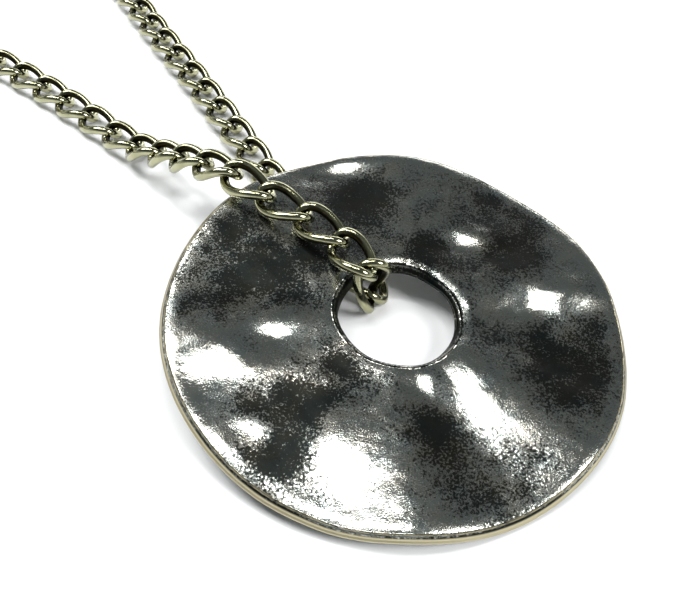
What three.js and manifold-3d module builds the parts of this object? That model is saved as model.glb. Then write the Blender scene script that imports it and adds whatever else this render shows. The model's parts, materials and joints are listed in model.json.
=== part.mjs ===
// A round hammered washer pendant on a curb chain, laid down on a table.
// Millimetres, +Z up. The origin is on the table under the middle of the washer, and +Y runs from
// the washer towards the clasp end of the chain.
//
// The chain comes over the washer's face, drops through its hole, turns round the edge of the hole
// and goes back under the washer, which therefore leans on the chain. Each link on these runs is a
// solid of its own. Past the last separate link each leg goes on as a plain solid of the chain's
// outer size, into a small storage coil. The two legs end in a lobster clasp and in an end ring.

import * as THREE from "three";
import { mergeVertices } from "three/addons/utils/BufferGeometryUtils.js";
import Module from "manifold-3d";

const wasm = await Module();
wasm.setup();

// ---------------------------------------------------------------- driving dimensions

const WASHER_DIAMETER = 45;
const HOLE_DIAMETER = 11.8;
const WASHER_THICKNESS = 1.4;
const EDGE_ROUNDING = 0.45;

// The washer is hammered into soft waves that run out from the hole like spokes.
const CREST_AZIMUTHS = [-150, -89, -35, 26, 84, 140];
const WAVE_AT_RIM = 0.42;
const WAVE_AT_HOLE = 0.1;

// Hammer marks sunk into the face: azimuth and distance of the middle, the half sizes across and
// along the spoke direction, and the depth.
const HAMMER_MARKS = [
  { azimuth: 38, distance: 14.8, across: 2.6, along: 4.2, depth: 0.3 },
  { azimuth: 104, distance: 15.5, across: 2.8, along: 2.6, depth: 0.18 },
  { azimuth: -73, distance: 14.5, across: 2.4, along: 3.4, depth: 0.22 },
  { azimuth: -128, distance: 13.0, across: 2.6, along: 3.2, depth: 0.2 },
  { azimuth: 176, distance: 15.0, across: 2.4, along: 3.0, depth: 0.2 },
  { azimuth: -12, distance: 16.5, across: 2.6, along: 3.6, depth: 0.2 },
];

const WIRE_DIAMETER = 1.0;
const CHAIN_WIDTH = 4.4;
const LINK_PITCH = 4.7;
const LINK_PLAY = 0.2; // free travel between two hooked wires
const LINK_TWIST = -45; // degrees turned at each end of a link, left-handed
const LINK_SQUARENESS = 2.4; // 2 is a plain oval, more fills the ends out
const SIDESTEP = 0.92; // how far a link sits to one side where the chain turns a right angle

const RUNNING_CLEARANCE = 0.15; // between the chain and the washer that turns past it
const TABLE_CLEARANCE = 0.04; // under everything that lies on the table
const SOLID_GAP = 0.3; // between two plain chain solids that meet

const FRONT_LINKS = 14; // from the hole over the face and out to the left
const BACK_LINKS = 15; // from the hole under the washer and out to the back

const COIL_CENTRE = new THREE.Vector2(-85, 58);
const COIL_RADIUS = 22;
const TIE_AZIMUTH = 200;
const TIE_THICKNESS = 0.4;
const TIE_WIDTH = 3;
const TIE_GAP = 0.15; // round the chain that the tie holds

const CLASP_THICKNESS = 2.9;
const CLASP_RING_RADIUS = 1.9;
const CLASP_RING_WIRE = 0.6;
const EYE_HOLE_RADIUS = 1.5;
const EYE_RADIUS = 2.3;
const EYE_PLATE = 0.7;
const CLAW_RADIUS = 3.7;
const CLAW_OPENING_RADIUS = 2.1;
const CLAW_REACH = 6.8; // from the eye to the middle of the claw
const LEVER_THICKNESS = 1.1;
const LEVER_CLEARANCE = 0.15;
const PIN_RADIUS = 0.4;
const PIN_CLEARANCE = 0.06;
const END_RING_RADIUS = 2.6;
const END_RING_WIRE = 1.0;

// Where the legs lie on the table, from the washer outwards, and how each tail comes in from the
// coil. Plan points only: every height follows from what the chain lies on.
const FRONT_LEG_PLAN = [
  [-6.9, 8.0], [-11.1, 10.4], [-14.9, 12.6], [-18.4, 15.1], [-22.2, 18.1], [-26.2, 21.8],
  [-30.1, 25.1], [-33.8, 28.3], [-38.0, 31.8], [-42.1, 35.0], [-46.3, 38.2], [-50.2, 41.0],
  [-54.5, 43.9], [-58.6, 47.4], [-61.6, 52.0], [-63.0, 58.0],
];
const BACK_LEG_PLAN = [
  [-4.9, 9.2], [-7.8, 12.6], [-10.8, 16.2], [-13.6, 20.3], [-16.1, 24.6], [-18.6, 28.8],
  [-21.1, 32.9], [-23.7, 37.1], [-26.4, 41.4], [-29.0, 45.5], [-31.7, 49.6], [-34.4, 53.8],
  [-37.1, 58.2], [-40.2, 63.2], [-44.5, 68.3], [-50.5, 72.0], [-58.0, 74.8], [-66.0, 77.0],
  [-73.5, 79.0],
];
const FRONT_TAIL_PLAN = [[-69.9, 61.8], [-73.2, 65.0], [-77.6, 66.6], [-82.0, 66.4]];
const BACK_TAIL_PLAN = [[-73.4, 50.6], [-74.9, 54.4], [-78.2, 56.8], [-82.2, 56.6]];
const CLIMB_START = 0.72; // share of the back leg's plan points after which it climbs onto the coil
const RIM_SLOPE = 0.4; // how steeply the front leg comes down off the rim

// ---------------------------------------------------------------- finishes

const antiqueSilver = new THREE.MeshStandardMaterial({
  name: "antique_silver", color: 0x6f7573, roughness: 0.35, metalness: 1,
});
const brightNickel = new THREE.MeshStandardMaterial({
  name: "bright_nickel", color: 0xc9c6b4, roughness: 0.18, metalness: 1,
});
const springSteel = new THREE.MeshStandardMaterial({
  name: "spring_steel", color: 0x8d9092, roughness: 0.3, metalness: 1,
});
const tiePaper = new THREE.MeshStandardMaterial({
  name: "tie_paper", color: 0xe6e2d6, roughness: 0.8, metalness: 0,
});

// ---------------------------------------------------------------- helpers

const rad = THREE.MathUtils.degToRad;
const UP = new THREE.Vector3(0, 0, 1);
const object = new THREE.Group();

function node(name, geometry, material, parent = object) {
  const mesh = new THREE.Mesh(geometry, material);
  mesh.name = name;
  parent.add(mesh);
  return mesh;
}

// A three.js geometry as a manifold-3d solid, and back.
function solid(geometry) {
  const bare = new THREE.BufferGeometry();
  const source = geometry.index ? geometry.toNonIndexed() : geometry;
  bare.setAttribute("position", source.getAttribute("position"));
  const merged = mergeVertices(bare, 1e-4);
  const mesh = new wasm.Mesh({
    numProp: 3,
    vertProperties: merged.attributes.position.array,
    triVerts: new Uint32Array(merged.index.array),
  });
  return new wasm.Manifold(mesh);
}

function geometryOf(body) {
  const mesh = body.getMesh();
  const geometry = new THREE.BufferGeometry();
  geometry.setAttribute("position", new THREE.BufferAttribute(mesh.vertProperties, 3));
  geometry.setIndex(new THREE.BufferAttribute(mesh.triVerts, 1));
  return geometry;
}

// A flat outline given a thickness, centred on z = 0.
function plate(shape, thickness, curveSegments = 8) {
  const options = { depth: thickness, bevelEnabled: false, curveSegments };
  return new THREE.ExtrudeGeometry(shape, options).translate(0, 0, -thickness / 2);
}

function disc(x, y, radius, thickness, segments = 24) {
  return new THREE.CylinderGeometry(radius, radius, thickness, segments)
    .rotateX(Math.PI / 2)
    .translate(x, y, 0);
}

function outline(points) {
  return new THREE.Shape(points.map(([x, y]) => new THREE.Vector2(x, y)));
}

// ---------------------------------------------------------------- the curb link

// The middle line of one link's wire: a rounded oval whose two ends are twisted opposite ways.
class LinkLine extends THREE.Curve {
  constructor() {
    super();
    this.halfLength = LINK_PITCH / 2 + WIRE_DIAMETER / 2 + LINK_PLAY / 2;
    this.halfWidth = CHAIN_WIDTH / 2 - WIRE_DIAMETER / 2;
    this.arcLengthDivisions = 400;
  }

  getPoint(t, target = new THREE.Vector3()) {
    const angle = 2 * Math.PI * t;
    const power = 2 / LINK_SQUARENESS;
    const c = Math.cos(angle);
    const s = Math.sin(angle);
    const along = this.halfLength * Math.sign(c) * Math.abs(c) ** power;
    const across = this.halfWidth * Math.sign(s) * Math.abs(s) ** power;
    const twist = (rad(LINK_TWIST) * along) / this.halfLength;
    return target.set(along, across * Math.cos(twist), across * Math.sin(twist));
  }
}

const linkLine = new LinkLine();
const LINK_SEGMENTS = 18;
const WIRE_SIDES = 6;
const linkGeometry = new THREE.TubeGeometry(
  linkLine, LINK_SEGMENTS, WIRE_DIAMETER / 2, WIRE_SIDES, true,
);

// Half the thickness of the chain as it lies flat.
function halfChainThickness() {
  const heights = linkLine.getPoints(200).map((point) => Math.abs(point.z));
  return Math.max(...heights) + WIRE_DIAMETER / 2;
}

const HALF_CHAIN = halfChainThickness();
const TABLE_HEIGHT = HALF_CHAIN + TABLE_CLEARANCE; // of the chain's middle, lying on the table

// Puts a link between two joints of the chain. facing is the way its flat side looks.
function placeLink(name, from, to, facing) {
  const along = to.clone().sub(from).normalize();
  const left = facing.clone().cross(along).normalize();
  const normal = along.clone().cross(left);
  const link = node(name, linkGeometry, brightNickel);
  link.quaternion.setFromRotationMatrix(new THREE.Matrix4().makeBasis(along, left, normal));
  link.position.copy(from).add(to).multiplyScalar(0.5);
}

// ---------------------------------------------------------------- the washer

const WASHER_RADIUS = WASHER_DIAMETER / 2;
const HOLE_RADIUS = HOLE_DIAMETER / 2;

// The wave's share at an azimuth: 1 on a crest, -1 half way to the next.
function waveShare(azimuth) {
  const crests = CREST_AZIMUTHS.concat(CREST_AZIMUTHS[0] + 360);
  const turned = azimuth < crests[0] ? azimuth + 360 : azimuth;
  const next = crests.findIndex((crest) => crest > turned);
  const last = crests[next - 1];
  return Math.cos((2 * Math.PI * (turned - last)) / (crests[next] - last));
}

// Height of the tallest crest at a distance from the middle.
function crestHeight(distance) {
  const share = (distance - HOLE_RADIUS) / (WASHER_RADIUS - HOLE_RADIUS);
  return THREE.MathUtils.lerp(WAVE_AT_HOLE, WAVE_AT_RIM, THREE.MathUtils.clamp(share, 0, 1));
}

function markDepth(x, y, mark) {
  const azimuth = rad(mark.azimuth);
  const along = x * Math.cos(azimuth) + y * Math.sin(azimuth) - mark.distance;
  const across = -x * Math.sin(azimuth) + y * Math.cos(azimuth);
  return mark.depth * Math.exp(-((along / mark.along) ** 2) - (across / mark.across) ** 2);
}

// Height of the hammered face above a flat washer's.
function relief(x, y) {
  const wave = crestHeight(Math.hypot(x, y)) * waveShare((Math.atan2(y, x) * 180) / Math.PI);
  return HAMMER_MARKS.reduce((height, mark) => height - markDepth(x, y, mark), wave);
}

// The washer leans on the chain that passes under its hole's far edge: the far side is the high one.
const LOW_AZIMUTH = rad(-55.6);
const UNDER_HOLE = TABLE_HEIGHT + HALF_CHAIN + WAVE_AT_HOLE + RUNNING_CLEARANCE;
const LEAN = Math.asin(UNDER_HOLE / (WASHER_RADIUS + HOLE_RADIUS));

function washerGeometry() {
  const half = WASHER_THICKNESS / 2;
  const round = Math.min(EDGE_ROUNDING, half);
  const stations = [0, 0.14, 0.29, 0.44, 0.59, 0.73, 0.87, 1];
  const inner = HOLE_RADIUS + round;
  const reach = WASHER_RADIUS - round - inner;
  const face = stations.map((share) => inner + reach * share);
  const profile = [
    ...face.map((radius) => new THREE.Vector2(radius, -half)),
    new THREE.Vector2(WASHER_RADIUS - round * 0.3, -half + round * 0.3),
    new THREE.Vector2(WASHER_RADIUS, 0),
    new THREE.Vector2(WASHER_RADIUS - round * 0.3, half - round * 0.3),
    ...face.toReversed().map((radius) => new THREE.Vector2(radius, half)),
    new THREE.Vector2(HOLE_RADIUS + round * 0.3, half - round * 0.3),
    new THREE.Vector2(HOLE_RADIUS, 0),
    new THREE.Vector2(HOLE_RADIUS + round * 0.3, -half + round * 0.3),
  ];
  profile.push(profile[0].clone());
  const geometry = new THREE.LatheGeometry(profile, 72).rotateX(Math.PI / 2);
  const position = geometry.getAttribute("position");
  for (let i = 0; i < position.count; i += 1) {
    const height = relief(position.getX(i), position.getY(i));
    position.setZ(i, position.getZ(i) + height);
  }
  return geometry;
}

const washer = node("pendant_washer", washerGeometry(), antiqueSilver);
const LEAN_AXIS = new THREE.Vector3(-Math.sin(LOW_AZIMUTH), Math.cos(LOW_AZIMUTH), 0);
washer.quaternion.setFromAxisAngle(LEAN_AXIS, LEAN);
washer.updateMatrixWorld(true);
washer.position.z = -new THREE.Box3().setFromObject(washer, true).min.z;

// Height of the washer's middle plane, leaning, over a point of the table.
function washerHeight(x, y) {
  const down = x * Math.cos(LOW_AZIMUTH) + y * Math.sin(LOW_AZIMUTH);
  return washer.position.z - down * Math.tan(LEAN);
}

// Height of the chain's middle where it lies on the washer or comes down from its rim.
function frontHeight(x, y) {
  const distance = Math.hypot(x, y);
  const inside = Math.min(distance, WASHER_RADIUS);
  const plane = washerHeight((x * inside) / distance, (y * inside) / distance);
  const onFace = plane + WASHER_THICKNESS / 2 + crestHeight(inside) + RUNNING_CLEARANCE + HALF_CHAIN;
  const fallen = Math.max(0, distance - inside - CHAIN_WIDTH / 2) * RIM_SLOPE;
  return Math.max(TABLE_HEIGHT, onFace - fallen);
}

// ---------------------------------------------------------------- the chain's two runs of links

// The upright link stands in the hole, its flat side towards the washer's edge.
const TURN_AZIMUTH = rad(-42); // the way the chain heads as it drops in
const TURN_HEADING = new THREE.Vector3(Math.cos(TURN_AZIMUTH), Math.sin(TURN_AZIMUTH), 0);
const TURN_LEFT = new THREE.Vector3().crossVectors(UP, TURN_HEADING);
const WALL_DISTANCE = HALF_CHAIN + RUNNING_CLEARANCE;
const ENTRY_AZIMUTH = rad(124); // where on the hole's edge the chain drops in

function turnJoint(height, sidesteps) {
  const distance = HOLE_RADIUS - WALL_DISTANCE;
  return new THREE.Vector3(Math.cos(ENTRY_AZIMUTH), Math.sin(ENTRY_AZIMUTH), 0)
    .multiplyScalar(distance)
    .addScaledVector(TURN_LEFT, sidesteps * SIDESTEP)
    .setZ(height);
}

const turnTop = turnJoint(TABLE_HEIGHT + LINK_PITCH, -1);
const turnBottom = turnJoint(TABLE_HEIGHT, 1);

const frontLeg = new THREE.CatmullRomCurve3(
  [turnTop, ...FRONT_LEG_PLAN.map(([x, y]) => new THREE.Vector3(x, y, frontHeight(x, y)))],
  false, "centripetal",
);

// The coil lies on the tie that passes under it, and the back leg's turn lies on the front leg's.
const LOWER_LAYER = TABLE_HEIGHT + TIE_THICKNESS + TIE_GAP;
const UPPER_LAYER = LOWER_LAYER + 2 * HALF_CHAIN + SOLID_GAP;

function backHeight(index) {
  const first = Math.floor(BACK_LEG_PLAN.length * CLIMB_START);
  const share = (index - first) / (BACK_LEG_PLAN.length - 2 - first);
  const eased = THREE.MathUtils.smoothstep(share, 0, 1);
  return THREE.MathUtils.lerp(TABLE_HEIGHT, UPPER_LAYER, eased);
}

const backLeg = new THREE.CatmullRomCurve3(
  [turnBottom, ...BACK_LEG_PLAN.map(([x, y], i) => new THREE.Vector3(x, y, backHeight(i)))],
  false, "centripetal",
);

// Joints a link's pitch apart, walked along a leg from the washer outwards. The share of the leg
// at the last joint comes back with them.
function walkJoints(leg, count) {
  const STEPS = 6000;
  const joints = [leg.getPointAt(0)];
  let share = 0;
  for (let i = 1; i <= STEPS && joints.length <= count; i += 1) {
    const point = leg.getPointAt(i / STEPS);
    if (point.distanceTo(joints[joints.length - 1]) >= LINK_PITCH) {
      joints.push(point);
      share = i / STEPS;
    }
  }
  return { joints, share };
}

function number(index) {
  return String(index).padStart(2, "0");
}

// The way a link's flat side looks: as the washer's face over the washer, straight up elsewhere.
function facingAt(point) {
  const over = Math.hypot(point.x, point.y) < WASHER_RADIUS && point.z > 2 * TABLE_HEIGHT;
  return over ? UP.clone().applyQuaternion(washer.quaternion) : UP;
}

function layLinks(prefix, leg, count) {
  const { joints, share } = walkJoints(leg, count);
  for (let i = 1; i < joints.length; i += 1) {
    const middle = joints[i - 1].clone().lerp(joints[i], 0.5);
    placeLink(`${prefix}_${number(i)}`, joints[i - 1], joints[i], facingAt(middle));
  }
  return share;
}

const uprightTop = turnJoint(turnTop.z, 0);
const uprightBottom = turnJoint(turnBottom.z, 0);
placeLink("hole_link", uprightTop, uprightBottom, TURN_HEADING);
const frontShare = layLinks("front_link", frontLeg, FRONT_LINKS);
const backShare = layLinks("back_link", backLeg, BACK_LINKS);

// ---------------------------------------------------------------- the plain chain solids

// A flat oval of the chain's outer size, drawn upright: x is the chain's thickness.
function chainSection() {
  return new THREE.Shape().absellipse(0, 0, HALF_CHAIN, CHAIN_WIDTH / 2, 0, 2 * Math.PI);
}

const TUBE_CORNERS = 8;

function chainTube(name, points) {
  const route = new THREE.CatmullRomCurve3(points, false, "centripetal");
  const steps = Math.max(3, Math.round(route.getLength() / (2 * CHAIN_WIDTH)));
  const geometry = new THREE.ExtrudeGeometry(
    new THREE.Shape(chainSection().getPoints(TUBE_CORNERS).slice(0, TUBE_CORNERS)),
    { steps, extrudePath: route, bevelEnabled: false },
  );
  node(name, geometry, brightNickel);
}

// The stretch of a leg between its last separate link and the coil's side.
function legTube(name, leg, share) {
  const LENGTH = leg.getLength();
  const reach = COIL_RADIUS + CHAIN_WIDTH + SOLID_GAP;
  const start = share + (WIRE_DIAMETER + LINK_PLAY / 2 + SOLID_GAP) / LENGTH;
  const points = [];
  const SAMPLES = 12;
  for (let i = 0; i <= SAMPLES; i += 1) {
    const point = leg.getPointAt(THREE.MathUtils.lerp(start, 1, i / SAMPLES));
    const clear = Math.hypot(point.x - COIL_CENTRE.x, point.y - COIL_CENTRE.y) > reach;
    if (clear) points.push(point);
  }
  chainTube(name, points);
}

legTube("front_leg", frontLeg, frontShare);
legTube("back_leg", backLeg, backShare);

function coil(name, height) {
  const section = chainSection().getPoints(TUBE_CORNERS).slice(0, TUBE_CORNERS);
  const profile = section.map(({ x, y }) => new THREE.Vector2(COIL_RADIUS + y, -x));
  profile.push(profile[0].clone());
  const geometry = new THREE.LatheGeometry(profile, 36).rotateX(Math.PI / 2);
  node(name, geometry, brightNickel).position.set(COIL_CENTRE.x, COIL_CENTRE.y, height);
}

coil("front_leg_coil", LOWER_LAYER);
coil("back_leg_coil", UPPER_LAYER);

function tailTube(name, plan, startHeight) {
  const last = plan.length - 1;
  const points = plan.map(([x, y], i) => {
    return new THREE.Vector3(x, y, THREE.MathUtils.lerp(startHeight, TABLE_HEIGHT, i / last));
  });
  chainTube(name, points);
}

tailTube("front_tail", FRONT_TAIL_PLAN, TABLE_HEIGHT);
tailTube("back_tail", BACK_TAIL_PLAN, TABLE_HEIGHT);

// ---------------------------------------------------------------- the tie round the coil

function tieBand() {
  const half = CHAIN_WIDTH / 2 + TIE_GAP;
  const bottom = LOWER_LAYER - HALF_CHAIN - TIE_GAP;
  const top = UPPER_LAYER + HALF_CHAIN + TIE_GAP;
  const outer = outline([
    [-half - TIE_THICKNESS, bottom - TIE_THICKNESS],
    [half + TIE_THICKNESS, bottom - TIE_THICKNESS],
    [half + TIE_THICKNESS, top + TIE_THICKNESS],
    [-half - TIE_THICKNESS, top + TIE_THICKNESS],
  ]);
  outer.holes.push(outline([[-half, bottom], [-half, top], [half, top], [half, bottom]]));
  const band = node("coil_tie", plate(outer, TIE_WIDTH).rotateX(Math.PI / 2), tiePaper);
  band.position.set(
    COIL_CENTRE.x + COIL_RADIUS * Math.cos(rad(TIE_AZIMUTH)),
    COIL_CENTRE.y + COIL_RADIUS * Math.sin(rad(TIE_AZIMUTH)),
    0,
  );
  band.rotation.z = rad(TIE_AZIMUTH);
}

tieBand();

// ---------------------------------------------------------------- clasp and rings

// A closed ring of round wire whose middle is held at a height. It leans about x until its lowest
// wire just clears the table.
function ringGeometry(radius, wire, height) {
  const lean = Math.asin((height - wire / 2 - TABLE_CLEARANCE) / radius);
  return new THREE.TorusGeometry(radius, wire / 2, 8, 20).rotateX(lean);
}

// A group whose origin is at the end of a tail, +x going on the way the tail heads.
function tailEnd(plan) {
  const [before, last] = plan.slice(-2);
  const group = new THREE.Group();
  group.rotation.z = Math.atan2(last[1] - before[1], last[0] - before[0]);
  group.position.set(last[0], last[1], 0);
  object.add(group);
  return group;
}

const claspEnd = tailEnd(FRONT_TAIL_PLAN);
const claspRing = ringGeometry(CLASP_RING_RADIUS, CLASP_RING_WIRE, CLASP_THICKNESS / 2);
const CLASP_RING_X = SOLID_GAP + CLASP_RING_RADIUS + CLASP_RING_WIRE / 2;
node("clasp_ring", claspRing, brightNickel, claspEnd)
  .position.set(CLASP_RING_X, 0, CLASP_THICKNESS / 2);

const ringEnd = tailEnd(BACK_TAIL_PLAN);
const endRing = ringGeometry(END_RING_RADIUS, END_RING_WIRE, TABLE_HEIGHT);
node("end_ring", endRing, brightNickel, ringEnd)
  .position.set(SOLID_GAP + END_RING_RADIUS + END_RING_WIRE / 2, 0, TABLE_HEIGHT);

// The clasp's own group: the eye's middle is its origin, where the ring's far wire passes.
const clasp = new THREE.Group();
clasp.position.set(CLASP_RING_X + CLASP_RING_RADIUS, 0, CLASP_THICKNESS / 2 + TABLE_CLEARANCE / 2);
claspEnd.add(clasp);

const PIN_X = 3.7;
const PIN_Y = -1.1;
const MOUTH_START = 4.9;
const MOUTH_END = 8.6;

function claspBody() {
  const tall = CLASP_THICKNESS * 2;
  const neck = plate(outline([[0, -1.2], [4.5, -2.7], [4.5, 2.4], [0, 1.3]]), CLASP_THICKNESS);
  const mouth = outline([
    [MOUTH_START, 0], [MOUTH_END, -1], [MOUTH_END - 0.5, -5], [MOUTH_START - 0.4, -5],
  ]);
  const slotDepth = LEVER_THICKNESS + 2 * LEVER_CLEARANCE;
  const slot = outline([[2.5, -0.1], [2.5, -4], [6, -4], [6, 0.4], [3.4, 0.4]]);
  const thin = (CLASP_THICKNESS - EYE_PLATE) / 2;
  const trim = new THREE.BoxGeometry(2 * EYE_RADIUS + 0.4, 2 * EYE_RADIUS + 2, thin);
  const trimX = -0.1;
  const trimZ = (EYE_PLATE + thin) / 2;
  return solid(disc(0, 0, EYE_RADIUS, CLASP_THICKNESS))
    .add(solid(neck))
    .add(solid(disc(CLAW_REACH, 0, CLAW_RADIUS, CLASP_THICKNESS, 36)))
    .subtract(solid(disc(0, 0, EYE_HOLE_RADIUS, tall)))
    .subtract(solid(trim.clone().translate(trimX, 0, trimZ + 0.001)))
    .subtract(solid(trim.clone().translate(trimX, 0, -trimZ - 0.001)))
    .subtract(solid(disc(CLAW_REACH, 0, CLAW_OPENING_RADIUS, tall, 32)))
    .subtract(solid(plate(mouth, tall)))
    .subtract(solid(plate(slot, slotDepth)))
    .subtract(solid(disc(PIN_X, PIN_Y, PIN_RADIUS + PIN_CLEARANCE, tall, 16)));
}

// The lever closes the mouth and turns inwards on its pin when its thumb nub is pressed.
function claspLever() {
  const arm = outline([
    [PIN_X, -2.1], [3.5, -3.4], [4.3, -4.1], [5.0, -3.9], [5.4, -3.1], [MOUTH_END - 0.5, -2.75],
    [MOUTH_END - 0.6, -1.75], [5.2, -1.8], [PIN_X + 0.5, -0.35],
  ]);
  return solid(disc(PIN_X, PIN_Y, 0.85, LEVER_THICKNESS, 20))
    .add(solid(plate(arm, LEVER_THICKNESS)))
    .subtract(solid(disc(PIN_X, PIN_Y, PIN_RADIUS + PIN_CLEARANCE, 2 * CLASP_THICKNESS, 16)));
}

// A leaf of spring wire in the slot, drawn where the lever's heel presses it to.
function leverSpring() {
  const leaf = outline([[3.75, -0.02], [4.75, -0.5], [4.82, -0.35], [3.85, 0.16]]);
  return plate(leaf, LEVER_THICKNESS * 0.7);
}

node("clasp_body", geometryOf(claspBody()), brightNickel, clasp);
node("clasp_lever", geometryOf(claspLever()), brightNickel, clasp);
node("clasp_pin", disc(PIN_X, PIN_Y, PIN_RADIUS, CLASP_THICKNESS - 0.1, 12), springSteel, clasp);
node("clasp_spring", leverSpring(), springSteel, clasp);

export default object;
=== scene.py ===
# %% [markdown]
# # A hammered washer pendant on a curb chain
# A necklace lies on a white table. Its chain comes over a round silver washer, drops through the
# hole in the middle, and goes back underneath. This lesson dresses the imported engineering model:
# each plain part is replaced by a finely shaped one in the same place, and gets its metal.

import json
import math

import bmesh
import bpy
import numpy as np
from mathutils import Matrix, Quaternion, Vector, noise


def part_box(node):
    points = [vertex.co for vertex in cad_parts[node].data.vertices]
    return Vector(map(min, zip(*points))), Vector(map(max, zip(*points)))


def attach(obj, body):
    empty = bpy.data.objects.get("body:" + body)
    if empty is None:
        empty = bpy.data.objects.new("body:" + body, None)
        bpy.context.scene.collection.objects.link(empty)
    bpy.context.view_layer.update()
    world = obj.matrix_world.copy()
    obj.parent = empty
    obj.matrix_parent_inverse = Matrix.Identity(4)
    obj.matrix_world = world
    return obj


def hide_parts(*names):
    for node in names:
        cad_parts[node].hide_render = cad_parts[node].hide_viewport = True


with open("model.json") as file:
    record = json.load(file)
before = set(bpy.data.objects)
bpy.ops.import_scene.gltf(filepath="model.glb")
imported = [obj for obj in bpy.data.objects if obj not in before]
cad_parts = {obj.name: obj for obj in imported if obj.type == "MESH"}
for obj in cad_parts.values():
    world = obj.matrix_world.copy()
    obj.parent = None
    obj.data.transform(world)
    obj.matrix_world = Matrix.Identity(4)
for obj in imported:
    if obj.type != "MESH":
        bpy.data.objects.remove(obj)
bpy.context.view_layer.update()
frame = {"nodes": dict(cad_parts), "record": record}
MM = 0.001  # the lesson's sizes are in millimetres, and Blender's unit is the metre

# %% [markdown]
# ## The camera
# A camera can be aimed by a direction and a small roll. `to_track_quat` turns the camera's own
# view line, its -Z, along the direction, and the roll then tips the view about that line. An empty
# for it to look at would do as well, but would be one more object to keep.

# %% Camera
CAMERA_PLACE = Vector((-5.52, -50.73, 61.07))
CAMERA_AIM = Vector((0, 0.666, -0.746))
CAMERA_ROLL = math.radians(3.29)

camera_data = bpy.data.cameras.new("camera")
camera_data.sensor_width = 36
camera_data.lens = 42.35
camera_data.clip_start = 0.005
camera = bpy.data.objects.new("camera", camera_data)
camera.location = CAMERA_PLACE * MM
aim = CAMERA_AIM.to_track_quat("-Z", "Y")
roll = Quaternion((0, 0, 1), CAMERA_ROLL)
camera.rotation_euler = (aim @ roll).to_euler()
bpy.context.scene.collection.objects.link(camera)
bpy.context.scene.camera = camera
print("camera", camera_data.lens, "mm lens")

# %% [markdown]
# ## Lamps
# Polished metal shows what is around it, so what is left dark matters as much as the lamps. A small
# softbox nearly overhead gives the bright spots, two at the left light the rolled edges, a low
# strip at the back draws a line along each wire, and one at the right fills the rest.

# %% Lamps
def lamp_place(azimuth, elevation, distance):
    """A place seen from the necklace at two angles in degrees, and a distance in millimetres."""
    a, e = math.radians(azimuth), math.radians(elevation)
    return distance * Vector((math.cos(e) * math.cos(a), math.cos(e) * math.sin(a), math.sin(e)))


def softbox(name, place, size, power):
    """A rectangular lamp turned to face the necklace. Its place and size are in millimetres."""
    data = bpy.data.lights.new(name, "AREA")
    data.shape = "RECTANGLE"
    data.size, data.size_y = size[0] * MM, size[1] * MM
    data.energy = power
    lamp = bpy.data.objects.new(name, data)
    lamp.location = place * MM
    lamp.rotation_euler = (-place).to_track_quat("-Z", "Y").to_euler()
    bpy.context.scene.collection.objects.link(lamp)


KEY_PLACE = lamp_place(92, 84, 600)
softbox("key_softbox", KEY_PLACE, (130, 90), 0.8)
softbox("edge_softbox", lamp_place(146, 46, 700), (340, 300), 3.4)
softbox("crown_softbox", lamp_place(170, 71, 700), (220, 220), 1.3)
softbox("strip_softbox", lamp_place(80, 14, 800), (600, 200), 1.4)
softbox("fill_softbox", lamp_place(-22, 46, 800), (340, 340), 5.5)

# %% [markdown]
# ## Finishes as expressions
# A material is a small graph of nodes. Writing its sums as Python expressions is easier to read
# than wiring Math nodes one by one, so `Wire` wraps an output socket and turns `+`, `-` and `*`
# into Math nodes. `Finish` makes the material, and its `node` method adds any other node.

# %% The Wire and Finish classes
class Wire:
    def __init__(self, finish, socket):
        self.finish = finish
        self.socket = socket

    def sum_node(self, operation, first, second):
        return self.finish.node("ShaderNodeMath", {"operation": operation}, {0: first, 1: second})

    def __add__(self, other):
        return self.sum_node("ADD", self, other)

    def __radd__(self, other):
        return self.sum_node("ADD", other, self)

    def __sub__(self, other):
        return self.sum_node("SUBTRACT", self, other)

    def __rsub__(self, other):
        return self.sum_node("SUBTRACT", other, self)

    def __mul__(self, other):
        return self.sum_node("MULTIPLY", self, other)

    def __rmul__(self, other):
        return self.sum_node("MULTIPLY", other, self)


class Finish:
    def __init__(self, name, metallic):
        self.material = bpy.data.materials.new(name)
        self.material.use_nodes = True
        self.tree = self.material.node_tree
        self.shader = self.tree.nodes["Principled BSDF"]
        self.shader.inputs["Metallic"].default_value = metallic

    def node(self, kind, settings, inputs, output=0):
        made = self.tree.nodes.new(kind)
        for key, value in settings.items():
            setattr(made, key, value)
        self.feed(made, inputs)
        return Wire(self, made.outputs[output])

    def feed(self, made, inputs):
        for key, value in inputs.items():
            if isinstance(value, Wire):
                self.tree.links.new(value.socket, made.inputs[key])
            else:
                made.inputs[key].default_value = value

    def place(self):
        return self.node("ShaderNodeTexCoord", {}, {}, "Object")

    def attribute(self, name):
        return self.node("ShaderNodeAttribute", {"attribute_name": name}, {}, "Fac")

    def noise(self, vector, scale, detail, roughness):
        sizes = {"Vector": vector, "Scale": scale, "Detail": detail, "Roughness": roughness}
        return self.node("ShaderNodeTexNoise", {}, sizes)

    def ramp(self, value, low, high):
        """0 below low, 1 above high, and a soft step between them."""
        ends = {0: value, 1: low, 2: high}
        return self.node("ShaderNodeMapRange", {"interpolation_type": "SMOOTHSTEP"}, ends)

    def mix(self, factor, first, second):
        return self.node("ShaderNodeMix", {"data_type": "RGBA"}, {0: factor, 6: first, 7: second}, 2)

    def bump(self, height, strength, distance):
        sizes = {"Strength": strength, "Distance": distance, "Height": height}
        return self.node("ShaderNodeBump", {}, sizes)

    def done(self, **inputs):
        self.feed(self.shader, {name.replace("_", " "): value for name, value in inputs.items()})
        return self.material


def colour(red, green, blue):
    return (red, green, blue, 1.0)


print("finish tools ready")

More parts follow.
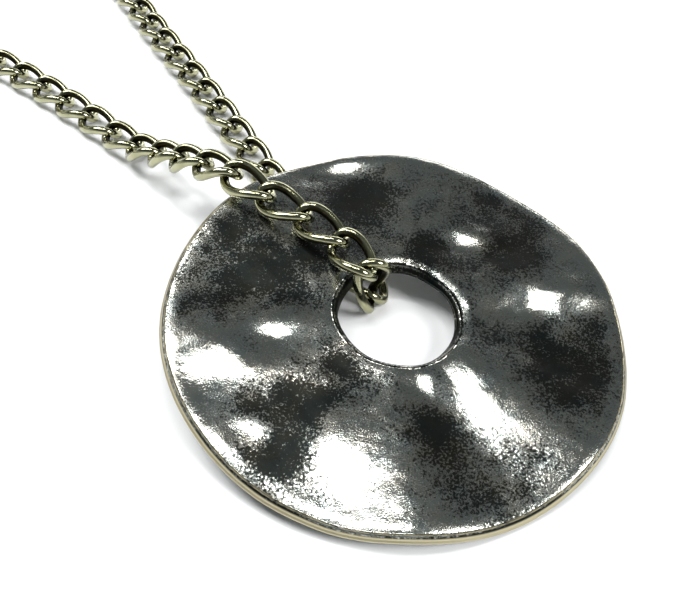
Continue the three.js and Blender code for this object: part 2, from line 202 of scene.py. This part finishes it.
# %% [markdown]
# ## The metals
# The washer is plated, dipped in a black oxide and rubbed. The oxide stays in the pits and
# hollows, and the rubbed high spots shine. Noises of several sizes give the patches, the speckle
# and the pits, and a number stored on the mesh says where cloth and skin have rubbed. That number
# also carries painted light: a painted highlight on the bright spots, and painted shade on listed
# dark patches.

# %% Antique silver
def antique_silver():
    finish = Finish("antique_silver_finish", 1.0)
    place = finish.place()
    wear_and_painted_light = finish.attribute("wear_and_painted_light")
    edge = finish.attribute("edge")
    patches = finish.noise(place, 400, 5.0, 0.65)
    stains = finish.noise(place, 380, 3.0, 0.6)
    speckle = finish.noise(place, 4600, 4.0, 0.75)
    pits = finish.noise(place, 7000, 2.0, 0.6)
    grain = finish.noise(place, 1500, 2.0, 0.5)
    # The face is silver where the stored number is high: real wear, plus painted highlight on the bright
    # spots and painted shade on the dark patches.
    rubbed_and_lit = finish.ramp(0.6 * wear_and_painted_light + 0.85 * patches + 1.7 * (speckle - 0.5), 0.6, 0.94)
    oxide = finish.mix(stains, colour(0.006, 0.012, 0.014), colour(0.022, 0.019, 0.013))
    silver = finish.mix(stains, colour(0.38, 0.47, 0.48), colour(0.62, 0.55, 0.45))
    face = finish.mix(rubbed_and_lit, oxide, silver)
    tone = finish.mix(edge, face, colour(0.5, 0.45, 0.3))
    roughness = 0.42 - 0.27 * rubbed_and_lit + 0.08 * (pits - 0.5)
    normal = finish.bump(0.6 * grain + 0.4 * pits, 0.5, 0.00008)
    return finish.done(Base_Color=tone, Roughness=roughness, Normal=normal)


ANTIQUE_SILVER = antique_silver()
print(ANTIQUE_SILVER.name, len(ANTIQUE_SILVER.node_tree.nodes), "nodes")

# %% [markdown]
# The chain is bright nickel plate. Wear polishes its outside, and the inside of each link, which
# no cloth reaches, keeps a brown-black tone: partly tarnish, and partly painted shade between the
# wires. The `inside` number on the mesh says where that is.

# %% Bright nickel
def bright_nickel():
    finish = Finish("bright_nickel_finish", 1.0)
    place = finish.place()
    inside = finish.attribute("inside")
    cloud = finish.noise(place, 700, 3.0, 0.6)
    scratches = finish.noise(place, 4200, 2.0, 0.5)
    # The dark tone inside each link is partly tarnish and partly painted shade.
    tarnish_and_shade = finish.ramp(inside + 0.5 * cloud, 0.45, 0.9)
    plate = finish.mix(cloud, colour(0.23, 0.23, 0.12), colour(0.47, 0.46, 0.31))
    tone = finish.mix(tarnish_and_shade, plate, colour(0.02, 0.017, 0.008))
    roughness = 0.1 + 0.2 * tarnish_and_shade + 0.06 * scratches
    normal = finish.bump(scratches, 0.12, 0.00005)
    return finish.done(Base_Color=tone, Roughness=roughness, Normal=normal)


BRIGHT_NICKEL = bright_nickel()
print(BRIGHT_NICKEL.name, len(BRIGHT_NICKEL.node_tree.nodes), "nodes")

# %% [markdown]
# The clasp's pin and spring are drawn steel wire, plain grey and a little streaked. The tie is wire
# wrapped in paper, dull and fibrous. One noise is enough for each, because both parts are tiny.

# %% Spring steel and the tie's paper
def spring_steel():
    finish = Finish("spring_steel_finish", 1.0)
    drawn = finish.noise(finish.place(), 3000, 2.0, 0.5)
    tone = finish.mix(drawn, colour(0.3, 0.31, 0.32), colour(0.5, 0.5, 0.5))
    return finish.done(Base_Color=tone, Roughness=0.25 + 0.2 * drawn)


def tie_paper():
    finish = Finish("tie_paper_finish", 0.0)
    fibres = finish.noise(finish.place(), 2600, 6.0, 0.7)
    tone = finish.mix(fibres, colour(0.62, 0.58, 0.5), colour(0.86, 0.83, 0.76))
    normal = finish.bump(fibres, 0.4, 0.0001)
    return finish.done(Base_Color=tone, Roughness=0.7 + 0.2 * fibres, Normal=normal)


SPRING_STEEL = spring_steel()
TIE_PAPER = tie_paper()
print(SPRING_STEEL.name, TIE_PAPER.name)

# %% [markdown]
# ## One curb link
# A jeweller winds wire into ovals, hooks them together, and twists each one until the chain lies
# flat. Drawing the wire's middle line as a closed curve and giving it a round bevel does the same:
# `bevel_depth` is the wire's radius. The ends of the oval turn 45 degrees opposite ways.

# %% Link shape
WIRE_DIAMETER = 1.0
CHAIN_WIDTH = 4.4
LINK_PITCH = 4.7
LINK_PLAY = 0.2
LINK_TWIST = -45
LINK_SQUARENESS = 2.4  # 2 is a true oval, and more fills out its corners
FINE_WIRE = (72, 3)  # points along the wire, and roundness of its section
PLAIN_WIRE = (24, 1)


def link_line(stations):
    """Points of the wire's middle line, in metres: an oval whose ends are twisted."""
    half_length = (LINK_PITCH + WIRE_DIAMETER + LINK_PLAY) / 2
    half_width = (CHAIN_WIDTH - WIRE_DIAMETER) / 2
    points = []
    for i in range(stations):
        turn = 2 * math.pi * i / stations
        power = 2 / LINK_SQUARENESS
        share = math.copysign(abs(math.cos(turn)) ** power, math.cos(turn))
        side = half_width * math.copysign(abs(math.sin(turn)) ** power, math.sin(turn))
        twist = math.radians(LINK_TWIST) * share
        across = Vector((0, math.cos(twist), math.sin(twist))) * side
        points.append((Vector((half_length * share, 0, 0)) + across) * MM)
    return points


def link_mesh(name, stations, roundness):
    """A link's mesh, lying along X with its flat side up."""
    curve = bpy.data.curves.new(name, "CURVE")
    curve.dimensions = "3D"
    curve.bevel_depth = WIRE_DIAMETER / 2 * MM
    curve.bevel_resolution = roundness
    wire = curve.splines.new("POLY")
    wire.points.add(stations - 1)
    for point, place in zip(wire.points, link_line(stations)):
        point.co = (*place, 1)
    wire.use_cyclic_u = True
    holder = bpy.data.objects.new(name, curve)
    bpy.context.scene.collection.objects.link(holder)
    seen = holder.evaluated_get(bpy.context.evaluated_depsgraph_get())
    mesh = bpy.data.meshes.new_from_object(seen)
    bpy.data.objects.remove(holder)
    mark_inside(mesh)
    return mesh


def mark_inside(mesh):
    """Stores how far each point of a link faces into the link, for the tarnish and the painted shade."""
    store = mesh.attributes.new("inside", "FLOAT", "POINT")
    half_length = (LINK_PITCH + WIRE_DIAMETER) / 2 * MM
    half_width = (CHAIN_WIDTH - WIRE_DIAMETER) / 2 * MM
    for i, vertex in enumerate(mesh.vertices):
        out = Vector((vertex.co.x / half_length, vertex.co.y / half_width, 0))
        store.data[i].value = max(0.0, -vertex.normal.dot(out))


FINE_LINK = link_mesh("fine_link", *FINE_WIRE)
PLAIN_LINK = link_mesh("plain_link", *PLAIN_WIRE)
print("fine link", len(FINE_LINK.polygons), "faces, plain link", len(PLAIN_LINK.polygons), "faces")

# %% [markdown]
# ## Finishing a piece
# Every piece ends the same way: its bmesh becomes a mesh object at the origin, smooth shaded, with
# its metal, and it rides on the body of the plain part that it replaces.

# %% Piece helper
def piece(name, bm, material, body, replaced):
    mesh = bpy.data.meshes.new(name)
    bm.to_mesh(mesh)
    bm.free()
    mesh.shade_smooth()
    mesh.materials.clear()
    mesh.materials.append(material)
    made = bpy.data.objects.new(name, mesh)
    bpy.context.scene.collection.objects.link(made)
    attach(made, body)
    if replaced:
        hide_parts(*replaced)
    return made


BODY_OF = {node: body for body, nodes in frame["record"]["behaviour"]["bodies"].items() for node in nodes}
print("bodies:", sorted(set(BODY_OF.values())))

# %% [markdown]
# ## The stored ends of the chain
# Most of the chain is put away in a small coil far from the washer, held by a tie. Each end is one
# long run of links, so it is a cord: a route through a few chosen points, smoothed, and then a
# link laid on every pitch of it.

# %% Routes of the two ends
TABLE = 1.248  # height of the chain's middle line, lying on the table
LAYER = 2.716  # one turn of chain on another
TIE_LIFT = 0.55  # the tie passes under the coil there
COIL_CENTRE = Vector((-85, 58))
COIL_RADIUS = 22
TIE_AZIMUTH = 200
TIE_REACH = 25  # degrees of the coil over which the chain climbs onto the tie


def coil_points(start, turn, height, step=12):
    """Points round the coil from a start azimuth through a turn, raised where the tie passes under."""
    count = round(abs(turn) / step)
    points = []
    for i in range(count + 1):
        azimuth = start + turn * i / count
        direction = Vector((math.cos(math.radians(azimuth)), math.sin(math.radians(azimuth))))
        place = COIL_CENTRE + COIL_RADIUS * direction
        lift = TIE_LIFT * math.exp(-(((azimuth - TIE_AZIMUTH) / TIE_REACH) ** 2))
        points.append((place.x, place.y, height + lift))
    return points


FRONT_ROUTE = [
    (-53.52, 43.2, TABLE), (-58.6, 47.4, TABLE), (-61.6, 52.0, TABLE),
    *coil_points(0, 325, TABLE),
    (-65.8, 51.6, TABLE), (-66.9, 56.6, TABLE), (-69.9, 61.8, TABLE), (-73.2, 65.0, TABLE),
    (-77.6, 66.6, TABLE), (-82.0, 66.4, TABLE),
]
BACK_ROUTE = [
    (-40.45, 63.54, TABLE), (-44.5, 68.3, 1.8), (-50.5, 72.0, 2.6), (-58.0, 74.8, 3.5),
    (-66.0, 77.0, TABLE + LAYER), (-73.5, 79.0, TABLE + LAYER),
    *coil_points(80, 200, TABLE + LAYER),
    (-75.9, 40.2, 3.4), (-73.2, 45.0, 2.0), (-73.4, 50.6, TABLE), (-74.9, 54.4, TABLE),
    (-78.2, 56.8, TABLE), (-82.2, 56.6, TABLE),
]
print("route points:", len(FRONT_ROUTE), len(BACK_ROUTE))

# %% [markdown]
# A curve object could carry the links with an Array and a Curve modifier, but that bends each link.
# Real links stay rigid, so the smooth line is cut into equal steps, and one straight link is laid
# on each step.

# %% Smooth line through the points
def smooth_line(points, steps=16):
    """A Catmull-Rom line, which passes through every chosen point."""
    knots = [Vector(point) for point in points]
    knots = [2 * knots[0] - knots[1], *knots, 2 * knots[-1] - knots[-2]]
    line = []
    for before, start, end, after in zip(knots, knots[1:], knots[2:], knots[3:]):
        for i in range(steps):
            t = i / steps
            bend = 2 * before - 5 * start + 4 * end - after
            twist = 3 * start - before - 3 * end + after
            line.append(start + 0.5 * t * ((end - before) + t * (bend + t * twist)))
    return [*line, knots[-2]]


def line_length(line):
    return sum((b - a).length for a, b in zip(line, line[1:]))


def link_joints(line):
    """Points where one link hooks the next: a whole number of equal steps, each about a pitch."""
    points = np.array(line)
    reach = np.insert(np.cumsum(np.linalg.norm(np.diff(points, axis=0), axis=1)), 0, 0)
    stops = np.linspace(0, reach[-1], round(reach[-1] / LINK_PITCH) + 1)
    return [Vector(point) for point in zip(*(np.interp(stops, reach, points[:, k]) for k in range(3)))]


def link_matrix(start, end, facing):
    """Turns a link from X onto the way from start to end, its flat side facing out."""
    along = (end - start).normalized()
    left = facing.cross(along).normalized()
    normal = along.cross(left)
    turn = Matrix((along, left, normal)).transposed().to_4x4()
    return Matrix.Translation((start + end) / 2 * MM) @ turn


def chain_run(name, route, body, replaced):
    line = smooth_line(route)
    joints = link_joints(line)
    bm = bmesh.new()
    for start, end in zip(joints, joints[1:]):
        first = len(bm.verts)
        bm.from_mesh(PLAIN_LINK)
        bm.verts.ensure_lookup_table()
        bmesh.ops.transform(bm, matrix=link_matrix(start, end, Vector((0, 0, 1))), verts=bm.verts[first:])
    made = piece(name, bm, BRIGHT_NICKEL, body, replaced)
    print(name, len(joints) - 1, "links,", round(line_length(line), 1), "mm")
    return made, line


front_end, front_line = chain_run(
    "front_chain_end", FRONT_ROUTE, "laid_chain", ["front_leg", "front_leg_coil", "front_tail"])
back_end, back_line = chain_run(
    "back_chain_end", BACK_ROUTE, "laid_chain", ["back_leg", "back_leg_coil", "back_tail"])

# %% [markdown]
# ## The links in view
# Each separate link of the plain model gets a finely rounded one in exactly its place. A link looks
# the same after half a turn about any of its three axes, so its points spread most along the chain,
# less across it, and least through it. The covariance of the points gives the three axes.

# %% Fine links on the plain ones
def place_of(node):
    points = np.array([vertex.co for vertex in frame["nodes"][node].data.vertices])
    middle = points.mean(axis=0)
    spread, axes = np.linalg.eigh(np.cov((points - middle).T))
    along = Vector(axes[:, 2])
    across = Vector(axes[:, 1])
    turn = Matrix((along, across, along.cross(across))).transposed().to_4x4()
    return Matrix.Translation(Vector(middle)) @ turn


link_nodes = sorted(node for node in frame["nodes"] if "link" in node)
for node in link_nodes:
    bm = bmesh.new()
    bm.from_mesh(FINE_LINK)
    bmesh.ops.transform(bm, matrix=place_of(node), verts=bm.verts)
    piece(f"{node}_wire", bm, BRIGHT_NICKEL, BODY_OF[node], [node])
print(len(link_nodes), "fine links")

# %% [markdown]
# ## The washer
# The real washer is cut from sheet, hammered into soft waves and small dents, and its edge is
# rounded. Here two circles are bridged into a flat ring, cut fine, given its thickness and beveled.
# Then every point is lifted by the height of the hammered face at that place.

# %% Hammered relief
WASHER_DIAMETER = 45
HOLE_DIAMETER = 11.8
WASHER_THICKNESS = 1.4
CREST_AZIMUTHS = [-150, -89, -35, 26, 84, 140]
WAVE_AT_RIM = 0.42
WAVE_AT_HOLE = 0.1
HAMMER_MARKS = [  # azimuth, distance, half size across the spoke, half size along it, depth
    (38, 14.8, 2.6, 4.2, 0.3), (104, 15.5, 2.8, 2.6, 0.18), (-73, 14.5, 2.4, 3.4, 0.22),
    (-128, 13.0, 2.6, 3.2, 0.2), (176, 15.0, 2.4, 3.0, 0.2), (-12, 16.5, 2.6, 3.6, 0.2),
]


def wave_share(azimuth):
    """1 on a crest, -1 half way to the next."""
    crests = [*CREST_AZIMUTHS, CREST_AZIMUTHS[0] + 360]
    turned = azimuth + 360 if azimuth < crests[0] else azimuth
    last = max(crest for crest in crests if crest <= turned)
    following = crests[crests.index(last) + 1]
    return math.cos(2 * math.pi * (turned - last) / (following - last))


def relief(x, y):
    distance = math.hypot(x, y)
    share = (2 * distance - HOLE_DIAMETER) / (WASHER_DIAMETER - HOLE_DIAMETER)
    crest = WAVE_AT_HOLE + (WAVE_AT_RIM - WAVE_AT_HOLE) * min(1, max(0, share))
    height = crest * wave_share(math.degrees(math.atan2(y, x)))
    for azimuth, reach, across, along, depth in HAMMER_MARKS:
        angle = math.radians(azimuth)
        u = x * math.cos(angle) + y * math.sin(angle) - reach
        v = y * math.cos(angle) - x * math.sin(angle)
        height -= depth * math.exp(-((u / along) ** 2) - (v / across) ** 2)
    return height


print("relief at the rim:", round(relief(22, 0), 3), "mm")

# %% [markdown]
# The punched edges are not square. The outside and the hole are rolled soft from hammering, the
# punch raised a lip on one side of the hole, and both walls lean. A bevel alone gives the same
# corner all round, so these shapes are added as heights and leans that change round the ring.

# %% Rolled edges
OUTER_ROLL = (1.7, 0.26)  # width and depth of the soft edge round the outside
HOLE_ROLL = (1.2, 0.42)  # the same at the hole, where it is deepest towards HOLE_ROLL_AZIMUTH
HOLE_ROLL_AZIMUTH = math.radians(38)
HOLE_LIP = (2.4, 0.35)  # reach and height of the lip that the punch raised on the other side
HOLE_ROLL_CURVE = 1.2  # 1 would make the hole's soft edge a straight chamfer
OUTER_SLANT = 0.3  # the outer wall leans in by this much from bottom to top
HOLE_SLANT = 0.35  # the hole is this much narrower at the bottom, on each side


def edge_height(x, y):
    """How far the top of the face rises or sinks towards its two edges."""
    distance, azimuth = math.hypot(x, y), math.atan2(y, x)
    outside, inside = WASHER_DIAMETER / 2 - distance, distance - HOLE_DIAMETER / 2
    sink = OUTER_ROLL[1] * max(0, 1 - outside / OUTER_ROLL[0]) ** 2
    towards = 0.5 + 0.5 * math.cos(azimuth - HOLE_ROLL_AZIMUTH)
    sink += HOLE_ROLL[1] * towards * max(0, 1 - inside / HOLE_ROLL[0]) ** HOLE_ROLL_CURVE
    return HOLE_LIP[1] * (1 - towards) * math.exp(-((inside / HOLE_LIP[0]) ** 2)) - sink


def slant(distance, height):
    """How far a point moves out from the middle, for the walls to lean."""
    up = height / WASHER_THICKNESS + 0.5
    near_rim = max(0, 1 - (WASHER_DIAMETER / 2 - distance))
    near_hole = max(0, 1 - (distance - HOLE_DIAMETER / 2))
    return -OUTER_SLANT * up * near_rim - HOLE_SLANT * (1 - up) * near_hole


def face_height(x, y):
    return relief(x, y) + edge_height(x, y)


print("face beside the hole:", round(face_height(0, -6.5), 2), "mm")

# %% [markdown]
# Hammering leaves bright spots where a little of the face happens to lean the right way. The slope
# that mirrors a lamp into the camera faces half way between the two, so each spot's slope can be
# worked out from where they stand. Its height then fades away round the spot.

# %% Bright spots
LOW_AZIMUTH = math.radians(-55.6)  # the washer leans down towards here
LEAN = math.radians(5.467)
LEANING = Matrix.Rotation(LEAN, 4, (-math.sin(LOW_AZIMUTH), math.cos(LOW_AZIMUTH), 0))
MIDDLE_HEIGHT = 4.0  # of the leaning washer above the table
BRIGHT_SPOTS = [  # x, y, azimuth of the long side, half length, half width
    (-16.6, -7.4, -20, 4.2, 3.8), (-11.4, -3.1, 20, 2.8, 2.2), (-4.9, -16.4, -80, 6.8, 3.4),
    (6.9, -9.2, -68, 5.0, 3.2), (14.6, 3.2, 21, 4.4, 2.0), (7.1, 10.5, 10, 2.6, 1.7),
    (-6.2, 19.8, 18, 4.0, 2.0), (2.5, -7.6, 0, 1.5, 1.5), (-12.6, -13.4, 20, 1.6, 1.2),
]


def face_slope(x, y, step=0.05):
    along_x = (face_height(x + step, y) - face_height(x - step, y)) / (2 * step)
    along_y = (face_height(x, y + step) - face_height(x, y - step)) / (2 * step)
    return Vector((along_x, along_y))


def spot_slope(x, y):
    """The slope to add at a place, for it to mirror the key lamp into the camera."""
    place = Vector((x, y, MIDDLE_HEIGHT))
    half_way = (CAMERA_PLACE - place).normalized() + (KEY_PLACE - place).normalized()
    facing = LEANING.to_3x3().transposed() @ half_way
    return Vector((-facing.x, -facing.y)) / facing.z - face_slope(x, y)


SPOTS = [(x, y, math.radians(azimuth), along, across, spot_slope(x, y))
         for x, y, azimuth, along, across in BRIGHT_SPOTS]


def spots_at(x, y):
    """Height of the bright spots at a place, and how much of a spot it is."""
    height = share = 0
    for spot_x, spot_y, azimuth, along, across, slope in SPOTS:
        off = Vector((x - spot_x, y - spot_y))
        u = off.x * math.cos(azimuth) + off.y * math.sin(azimuth)
        v = off.y * math.cos(azimuth) - off.x * math.sin(azimuth)
        fade = math.exp(-((u / along) ** 2) - (v / across) ** 2)
        height += slope.dot(off) * fade
        share = max(share, fade)
    return height, share


print("spots:", [tuple(round(math.degrees(math.atan(c)), 1) for c in spot[-1]) for spot in SPOTS])

# %% [markdown]
# The ring itself comes from two circles, a bridge between them, cuts across the bridge's spokes, a
# thickness and a bevel. Sculpting would give the dents too, but heights from a formula come out the
# same every time. The operator gets `bm.edges[:]`, because a set of edges has no fixed order.

# %% Flat washer
WASHER_SEGMENTS, WASHER_RINGS = 384, 56
CORNER_ROUNDING = 0.42
CORNER_ANGLE = 1.2  # radians between two faces that meet in a corner of the flat ring


def flat_washer():
    bm = bmesh.new()
    for diameter in (WASHER_DIAMETER, HOLE_DIAMETER):
        bmesh.ops.create_circle(bm, segments=WASHER_SEGMENTS, radius=diameter / 2)
    edges = bm.edges[:]
    bridge = bmesh.ops.bridge_loops(bm, edges=edges)
    spokes = [edge for edge in bridge["edges"] if edge not in edges]
    bmesh.ops.subdivide_edges(bm, edges=spokes, cuts=WASHER_RINGS, use_grid_fill=True)
    bmesh.ops.recalc_face_normals(bm, faces=bm.faces)
    bmesh.ops.solidify(bm, geom=bm.faces[:], thickness=WASHER_THICKNESS)
    bm.normal_update()
    middle = sum(vertex.co.z for vertex in bm.verts) / len(bm.verts)
    bmesh.ops.translate(bm, vec=(0, 0, -middle), verts=bm.verts)
    rims = [e for e in bm.edges if len(e.link_faces) == 2 and e.calc_face_angle() > CORNER_ANGLE]
    bmesh.ops.bevel(bm, geom=rims, offset=CORNER_ROUNDING, segments=4, profile=0.5, affect="EDGES",
                    material=-1)
    bmesh.ops.recalc_face_normals(bm, faces=bm.faces)
    return bm


print("flat washer:", WASHER_SEGMENTS, "segments round it,", WASHER_RINGS, "rings across it")

# %% [markdown]
# A worn plating is bright where it is touched and black where it is not. A painted map could say
# where, but a number on each point follows the shape: crests and edges are rubbed, and hollows and
# walls keep their oxide. The same number also holds painted light: it is raised on the bright spots
# as a painted highlight, and lowered on listed dark patches as painted shade.

# %% Wear of the washer
DULL_AND_SHADED_SPOTS = [  # x, y and reach of dark patches: partly hollows that no cloth gets into, and partly painted shade, such as the chain's shadow beside it
    (11.7, 9.1, 3.2), (-3.5, 15.4, 3.4), (3.6, -12.5, 2.6), (-13.1, 4.6, 3.4),
    (-8.6, -10.6, 3.4), (-12.6, -10.8, 2.2), (-9.6, -15.6, 2.2),
    (15.5, -6.0, 3.4), (-5.5, -6.5, 1.8), (-8.8, 6.4, 2.6), (3.0, 8.5, 2.4), (-17.0, 9.0, 2.6),
]


RUBBED_RIM, RUBBED_HOLE = 1.8, 1.2  # widths of the rubbed bands beside the two edges
# The share given on the bright spots is partly real wear and partly painted highlight.
WEAR_EVERYWHERE, WEAR_BY_HEIGHT, WEAR_AND_HIGHLIGHT_ON_SPOTS, WEAR_AT_EDGES = 0.5, 0.5, 0.5, 0.2
WEAR_LOST_TO_HOLLOWS_AND_SHADE, WEAR_LOST_ON_WALLS = 0.6, 2
WALL_STANDS = 0.55  # a point whose surface stands up more than this is on a wall


def wear_and_painted_light_at(x, y, height, spot_share, upright):
    """How rubbed a point is, with painted light in it: most on crests and edges, and on the bright spots
    as painted highlight; least in hollows and on walls, and on the dark patches as painted shade.
    """
    distance = math.hypot(x, y)
    at_edges = distance > WASHER_DIAMETER / 2 - RUBBED_RIM or distance < HOLE_DIAMETER / 2 + RUBBED_HOLE
    # Dark patches: partly hollows that keep their oxide, and partly painted shade.
    dull_and_shaded = max(math.exp(-((x - a) ** 2 + (y - b) ** 2) / reach ** 2) for a, b, reach in DULL_AND_SHADED_SPOTS)
    # On the bright spots the face gets more silver: a painted highlight that makes each lamp spot solid
    # white, on top of real wear.
    rubbed_and_lit = WEAR_EVERYWHERE + WEAR_BY_HEIGHT * height + WEAR_AND_HIGHLIGHT_ON_SPOTS * spot_share
    rubbed_and_lit += WEAR_AT_EDGES if at_edges else 0
    return min(1, max(0, rubbed_and_lit - WEAR_LOST_TO_HOLLOWS_AND_SHADE * dull_and_shaded - WEAR_LOST_ON_WALLS * upright))


print("wear on a level part of the face:", round(wear_and_painted_light_at(0, -9.5, 0, 0, 0), 2))

# %% [markdown]
# Now the flat ring gets its shape. Each point moves out or in for the leaning walls, and up or down
# for the waves, the spots, the dents and the rolled edges. Then the whole washer leans, because it
# lies on its own chain, and is let down until its lowest point is where the plain one's is.

# %% Hammered washer
DENTS = [(0.45, 3.1, 0.05), (1.3, 8.7, 0.02)]  # dents per millimetre, layer of the noise, height


def dents(x, y):
    """Small hammer texture, too fine for the plain model."""
    return sum(height * noise.noise(Vector((x * rate, y * rate, layer))) for rate, layer, height in DENTS)


def hammered_washer():
    bm = flat_washer()
    wear_and_painted_light = bm.verts.layers.float.new("wear_and_painted_light")
    edge = bm.verts.layers.float.new("edge")
    for vertex in bm.verts:
        x, y, side = vertex.co.x, vertex.co.y, math.copysign(1, vertex.co.z)
        distance = math.hypot(x, y)
        height = relief(x, y)
        spots, share = spots_at(x, y)
        upright = 1 - abs(vertex.normal.z)
        vertex[edge] = 1 if upright > WALL_STANDS and distance > WASHER_DIAMETER / 3 else 0
        # The stored number mixes real wear with painted highlight and painted shade.
        vertex[wear_and_painted_light] = wear_and_painted_light_at(x, y, height, share, upright)
        vertex.co.xy *= 1 + slant(distance, vertex.co.z) / distance
        vertex.co.z += height + spots + dents(x, y) + side * edge_height(x, y)
    bmesh.ops.transform(bm, matrix=LEANING, verts=bm.verts)
    bmesh.ops.scale(bm, vec=(MM, MM, MM), verts=bm.verts)
    lowest = min(vertex.co.z for vertex in bm.verts)
    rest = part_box("pendant_washer")[0].z
    bmesh.ops.translate(bm, vec=(0, 0, rest - lowest), verts=bm.verts)
    return bm


washer = piece("hammered_washer", hammered_washer(), ANTIQUE_SILVER, "pendant", ["pendant_washer"])
print("washer", len(washer.data.polygons), "faces")

# %% [markdown]
# ## Rings, clasp and tie
# A ring of round wire is a circle spun once round an axis. A torus shape would do as well, but the
# spin shows how any turned piece is made. The two small rings take the place and the lean of the
# plain ones.

# %% Rings
WIRE_SEGMENTS, RING_STEPS = 16, 64


def ring(node, radius, wire):
    """A ring by the radius of its wire's middle line, and the wire's thickness."""
    bm = bmesh.new()
    section = bmesh.ops.create_circle(bm, segments=WIRE_SEGMENTS, radius=wire / 2)["verts"]
    bmesh.ops.rotate(bm, matrix=Matrix.Rotation(math.pi / 2, 3, "X"), verts=section)
    bmesh.ops.translate(bm, vec=(radius, 0, 0), verts=section)
    bmesh.ops.spin(bm, geom=[*section, *bm.edges], axis=(0, 0, 1), cent=(0, 0, 0), dvec=(0, 0, 0),
                   angle=2 * math.pi, steps=RING_STEPS, use_merge=True)
    bmesh.ops.remove_doubles(bm, verts=bm.verts, dist=1e-4)
    bmesh.ops.recalc_face_normals(bm, faces=bm.faces)
    bmesh.ops.scale(bm, vec=(MM, MM, MM), verts=bm.verts)
    bmesh.ops.transform(bm, matrix=place_of(node), verts=bm.verts)
    return piece(f"{node}_wire", bm, BRIGHT_NICKEL, BODY_OF[node], [node])


clasp_ring = ring("clasp_ring", 1.9, 0.6)
end_ring = ring("end_ring", 2.6, 1.0)
print("rings:", clasp_ring.name, end_ring.name)

# %% [markdown]
# The clasp is cast, so none of its edges is sharp. A copy of each plain part is cleaned of its flat
# triangles, and its sharp edges are beveled. The bevel goes only on the sharp edges, because the
# facets of a curve already meet nearly smooth.

# %% Softened clasp parts
SOFT_PARTS = {  # plain part: its bevel in millimetres, and its finish
    "clasp_body": (0.16, BRIGHT_NICKEL), "clasp_lever": (0.1, BRIGHT_NICKEL),
    "coil_tie": (0.08, TIE_PAPER),
}
WELD = 2e-6  # metres between two corners that are really one
FLAT = math.radians(1)
SHARP = math.radians(40)


def softened(node, offset, finish):
    bm = bmesh.new()
    bm.from_mesh(frame["nodes"][node].data)
    bmesh.ops.remove_doubles(bm, verts=bm.verts, dist=WELD)
    bmesh.ops.dissolve_limit(bm, angle_limit=FLAT, verts=bm.verts, edges=bm.edges)
    sharp = [e for e in bm.edges if len(e.link_faces) == 2 and e.calc_face_angle() > SHARP]
    bmesh.ops.bevel(bm, geom=sharp, offset=offset * MM, segments=3, profile=0.5, affect="EDGES",
                    material=-1, clamp_overlap=True)
    bmesh.ops.recalc_face_normals(bm, faces=bm.faces)
    return piece(f"{node}_soft", bm, finish, BODY_OF[node], [node])


soft = {node: softened(node, *how) for node, how in SOFT_PARTS.items()}
print("softened:", [made.name for made in soft.values()])

# %% [markdown]
# The pin and the spring are cut wire, and nothing in them needs rounding. They keep the plain
# model's own shape, and only get their steel.

# %% Pin and spring
for node in ("clasp_pin", "clasp_spring"):
    mesh = frame["nodes"][node].data
    mesh.materials.clear()
    mesh.materials.append(SPRING_STEEL)
print("steel parts keep their own shape")

# %% [markdown]
# The two stored ends hang limp on a real necklace. The pieces that hang on each end are listed,
# and each end's line is turned to metres and its length worked out, but neither result is kept.

CLASP_PIECES = [soft["clasp_body"], soft["clasp_lever"], "clasp_pin", "clasp_spring", clasp_ring]
BACK_PIECES = [end_ring, soft["coil_tie"]]
for made, line, hung in ((front_end, front_line, CLASP_PIECES), (back_end, back_line, BACK_PIECES)):
    path = [point * MM for point in line]
    line_length(line) * MM

# %% [markdown]
# ## Table
# The table is plain white, a little uneven, and dull. A flat grid is enough, because only its
# light and the necklace's shadows on it are seen.

# %% Table
def table_white():
    finish = Finish("table_white", 0.0)
    cloud = finish.noise(finish.place(), 6, 2.0, 0.5)
    tone = finish.mix(cloud, colour(0.86, 0.87, 0.88), colour(0.9, 0.9, 0.9))
    return finish.done(Base_Color=tone, Roughness=0.6 + 0.1 * cloud)


TABLETOP_HALF_SIDE = 0.7  # metres


def table():
    bm = bmesh.new()
    bmesh.ops.create_grid(bm, x_segments=8, y_segments=8, size=TABLETOP_HALF_SIDE)
    mesh = bpy.data.meshes.new("table")
    bm.to_mesh(mesh)
    bm.free()
    mesh.materials.append(table_white())
    made = bpy.data.objects.new("table", mesh)
    bpy.context.scene.collection.objects.link(made)
    return made


print(table().name)

# %% [markdown]
# ## Surroundings
# A pale sweep stands round the table, and the room above it is dim. The surroundings are a graph of
# nodes too, so a small class lends them the finish tools: the height of the direction that a ray
# looks in goes from 0 at the horizon to 1 straight up, and the colour is chosen by that height.

# %% Studio surroundings
class Surroundings(Finish):
    def __init__(self, name):
        self.world = bpy.data.worlds.new(name)
        self.world.use_nodes = True
        self.tree = self.world.node_tree
        self.shader = self.tree.nodes["Background"]


def studio():
    room = Surroundings("studio")
    looking = room.node("ShaderNodeTexCoord", {}, {}, "Generated")
    height = room.node("ShaderNodeSeparateXYZ", {}, {0: looking}, "Z")
    tone = room.mix(room.ramp(height, 0.1, 0.42), colour(0.8, 0.82, 0.83), colour(0.118, 0.134, 0.138))
    room.feed(room.shader, {"Color": tone})
    return room.world


bpy.context.scene.world = studio()
bpy.context.scene.view_settings.view_transform = "Standard"
print("surroundings:", bpy.context.scene.world.name)
